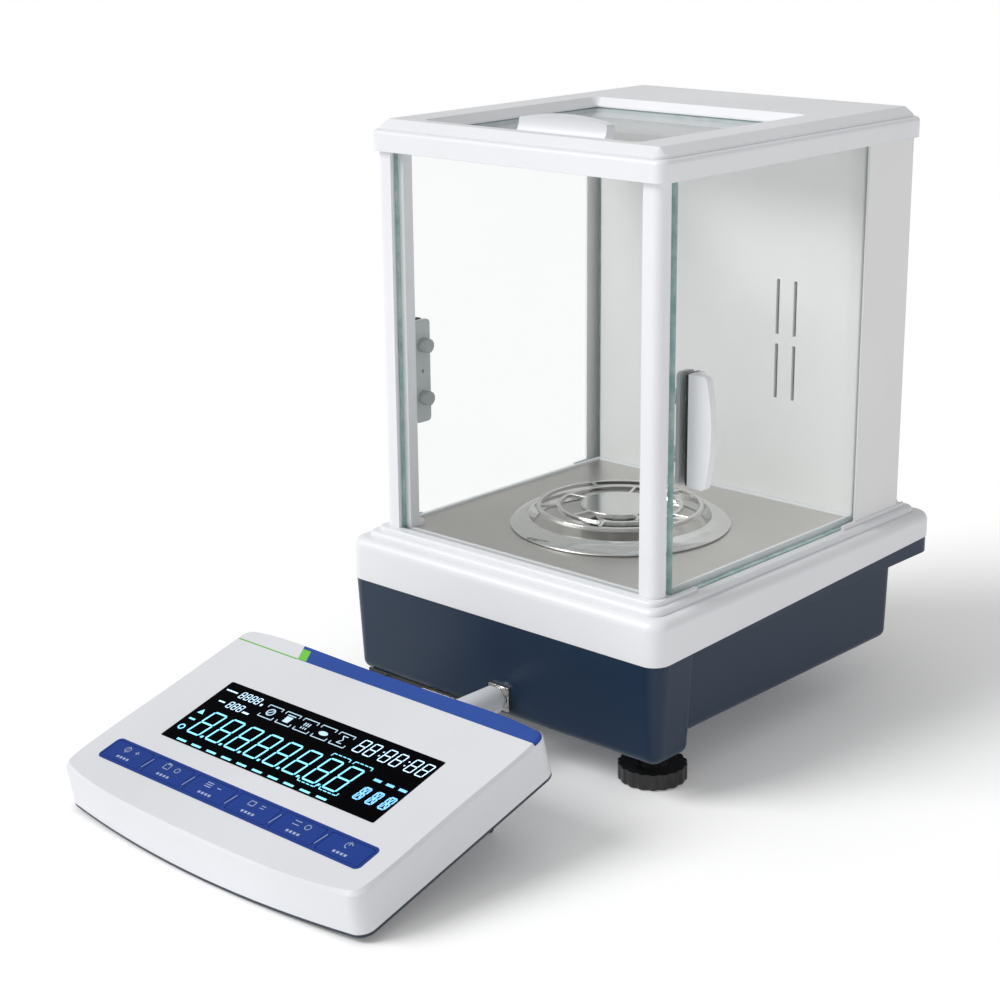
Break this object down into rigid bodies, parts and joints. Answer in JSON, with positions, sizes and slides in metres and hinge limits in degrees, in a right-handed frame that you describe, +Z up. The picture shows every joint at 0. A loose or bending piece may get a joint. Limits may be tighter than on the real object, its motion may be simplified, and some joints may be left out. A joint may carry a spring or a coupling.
{
  "type": "analytical balance",
  "caption": "Precision laboratory balance with a glass draught shield, sliding doors and top hatch, and a tilted display console on a lead.",
  "frame": {"origin": "on the floor, at the middle of the footprint of the weighing base and its console", "axes": "+Z up; -Y is the front, where the display console stands; +X is the right as the user sees it"},
  "size_m": [0.2254, 0.4449, 0.3269],
  "materials": {
    "white_shell": "satin moulded plastic",
    "white_metal": "smooth powder coat",
    "navy_shell": "semi-gloss moulded plastic",
    "black_plastic": "fine moulded grain",
    "black_rubber": "matt rubber",
    "door_glass": "clear float glass with green edges",
    "brushed_steel": "fine brushed",
    "polished_steel": "polished stainless",
    "cast_aluminium": "machined",
    "magnet_steel": "plated",
    "circuit_board": "solder mask",
    "grip_plate": "moulded",
    "clear_plastic": "translucent moulded plastic",
    "blue_strip": "printed film",
    "blue_foil": "printed keypad film",
    "display_black": "glossy dark window",
    "white_cord": "smooth soft plastic"
  },
  "bodies": {
    "balance": {"base_cover": "white_shell", "base_tub": "navy_shell", "rear_foot": "black_rubber", "chassis_plate": "cast_aluminium", "cell_frame": "cast_aluminium", "cell_magnet": "magnet_steel", "cell_lever": "brushed_steel", "pan_support": "polished_steel", "main_board": "circuit_board", "connector_bracket": "black_plastic", "serial_port": "brushed_steel", "power_jack": "brushed_steel", "display_socket": "polished_steel", "floor_plate": "brushed_steel", "post_right": "white_shell", "post_left": "white_shell", "front_glass": "door_glass", "column_core": "white_metal", "left_column_panel": "white_metal", "right_column_panel": "white_metal", "top_frame": "white_shell", "top_cover": "white_shell", "console_cover": "white_shell", "accent_strip": "blue_strip", "console_bottom": "navy_shell", "cable_gland": "white_shell", "console_board": "circuit_board", "lcd_module": "black_plastic", "display_window": "display_black", "keypad_foil": "blue_foil", "console_pads": "black_rubber", "console_screws": "brushed_steel", "cable_plug": "white_cord", "cable_lead": "white_cord", "cable_tail": "white_cord", "cable_coil": "white_cord"},
    "left_door": {"left_door_glass": "door_glass", "left_gasket": "black_plastic", "left_plate": "grip_plate", "left_handle": "white_shell", "left_thumb_screws": "clear_plastic"},
    "right_door": {"right_door_glass": "door_glass", "right_gasket": "black_plastic", "right_plate": "grip_plate", "right_handle": "white_shell", "right_thumb_screws": "clear_plastic"},
    "top_hatch": {"hatch_glass": "door_glass", "hatch_handle": "white_shell"},
    "pan": {"weigh_pan": "polished_steel"},
    "ring": {"draft_ring": "polished_steel"},
    "left_levelling_foot": {"foot_left": "black_plastic"},
    "right_levelling_foot": {"foot_right": "black_plastic"},
    "left_console_leg": {"left_leg": "black_rubber"},
    "right_console_leg": {"right_leg": "black_rubber"},
    "key_cap_1": {"key_1": "blue_foil"},
    "key_cap_2": {"key_2": "blue_foil"},
    "key_cap_3": {"key_3": "blue_foil"},
    "key_cap_4": {"key_4": "blue_foil"},
    "key_cap_5": {"key_5": "blue_foil"},
    "key_cap_6": {"key_6": "blue_foil"}
  },
  "joints": [
    {"name": "left_door_slide", "type": "slide", "parent": "balance", "child": "left_door", "axis": [0, 1, 0], "range_m": [0, 0.13]},
    {"name": "right_door_slide", "type": "slide", "parent": "balance", "child": "right_door", "axis": [0, 1, 0], "range_m": [0, 0.13]},
    {"name": "top_hatch_slide", "type": "slide", "parent": "balance", "child": "top_hatch", "axis": [0, 1, 0], "range_m": [0, 0.1]},
    {"name": "pan_lift", "type": "slide", "parent": "balance", "child": "pan", "axis": [0, 0, 1], "range_m": [0, 0.06]},
    {"name": "ring_lift", "type": "slide", "parent": "balance", "child": "ring", "axis": [0, 0, 1], "range_m": [0, 0.06]},
    {"name": "left_foot_turn", "type": "hinge", "parent": "balance", "child": "left_levelling_foot", "pos_m": [-0.0761, 0.00745, 0.02], "axis": [0, 0, 1], "continuous": true},
    {"name": "right_foot_turn", "type": "hinge", "parent": "balance", "child": "right_levelling_foot", "pos_m": [0.0819, 0.00745, 0.02], "axis": [0, 0, 1], "continuous": true},
    {"name": "left_leg_fold", "type": "hinge", "parent": "balance", "child": "left_console_leg", "pos_m": [-0.0711, -0.09413, 0.0307], "axis": [-1, 0, 0], "range_deg": [0, 74]},
    {"name": "right_leg_fold", "type": "hinge", "parent": "balance", "child": "right_console_leg", "pos_m": [0.0569, -0.09413, 0.0307], "axis": [-1, 0, 0], "range_deg": [0, 74]},
    {"name": "key_1_press", "type": "slide", "parent": "balance", "child": "key_cap_1", "axis": [0, 0.274, -0.9617], "range_m": [0, 0.0005], "stiffness_N_per_m": 600},
    {"name": "key_2_press", "type": "slide", "parent": "balance", "child": "key_cap_2", "axis": [0, 0.274, -0.9617], "range_m": [0, 0.0005], "stiffness_N_per_m": 600},
    {"name": "key_3_press", "type": "slide", "parent": "balance", "child": "key_cap_3", "axis": [0, 0.274, -0.9617], "range_m": [0, 0.0005], "stiffness_N_per_m": 600},
    {"name": "key_4_press", "type": "slide", "parent": "balance", "child": "key_cap_4", "axis": [0, 0.274, -0.9617], "range_m": [0, 0.0005], "stiffness_N_per_m": 600},
    {"name": "key_5_press", "type": "slide", "parent": "balance", "child": "key_cap_5", "axis": [0, 0.274, -0.9617], "range_m": [0, 0.0005], "stiffness_N_per_m": 600},
    {"name": "key_6_press", "type": "slide", "parent": "balance", "child": "key_cap_6", "axis": [0, 0.274, -0.9617], "range_m": [0, 0.0005], "stiffness_N_per_m": 600}
  ]
}
